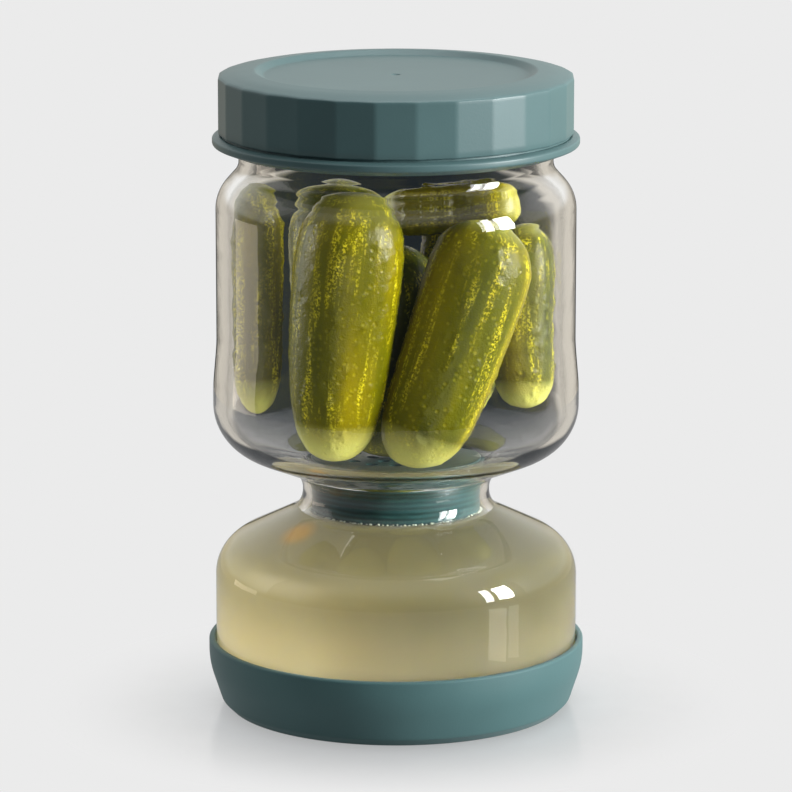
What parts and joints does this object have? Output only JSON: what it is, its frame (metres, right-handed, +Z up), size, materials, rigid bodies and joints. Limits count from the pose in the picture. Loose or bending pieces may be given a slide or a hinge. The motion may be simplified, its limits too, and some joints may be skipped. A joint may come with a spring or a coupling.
{
  "type": "hourglass pickle jar",
  "caption": "Hourglass glass jar of gherkins: upper chamber of drained gherkins, strainer in the waist, cloudy brine below, facetted screw lid and soft foot.",
  "frame": {"origin": "middle of the foot's underside, on the jar's axis", "axes": "+Z up along the jar's axis to the lid; -Y is the side with the two large upright gherkins, +X to the right of it"},
  "size_m": [0.1052, 0.1052, 0.1797],
  "materials": {
    "clear_glass": "clear, polished",
    "strainer_plastic": "matte green polypropylene",
    "brine": "cloudy yellow liquid",
    "foot_silicone": "matte green silicone",
    "lid_plastic": "matte green polypropylene, fine satin",
    "gherkin_skin": "moist, warty skin, yellow-green with pale streaks and tips"
  },
  "bodies": {
    "root": {"glass_jar": "clear_glass", "strainer": "strainer_plastic", "brine": "brine", "foot": "foot_silicone", "lid": "lid_plastic", "gherkin_front_left": "gherkin_skin", "gherkin_front_right": "gherkin_skin", "gherkin_left": "gherkin_skin", "gherkin_right": "gherkin_skin", "gherkin_back_right": "gherkin_skin", "gherkin_back_left": "gherkin_skin", "gherkin_middle": "gherkin_skin", "gherkin_top": "gherkin_skin"}
  },
  "joints": []
}
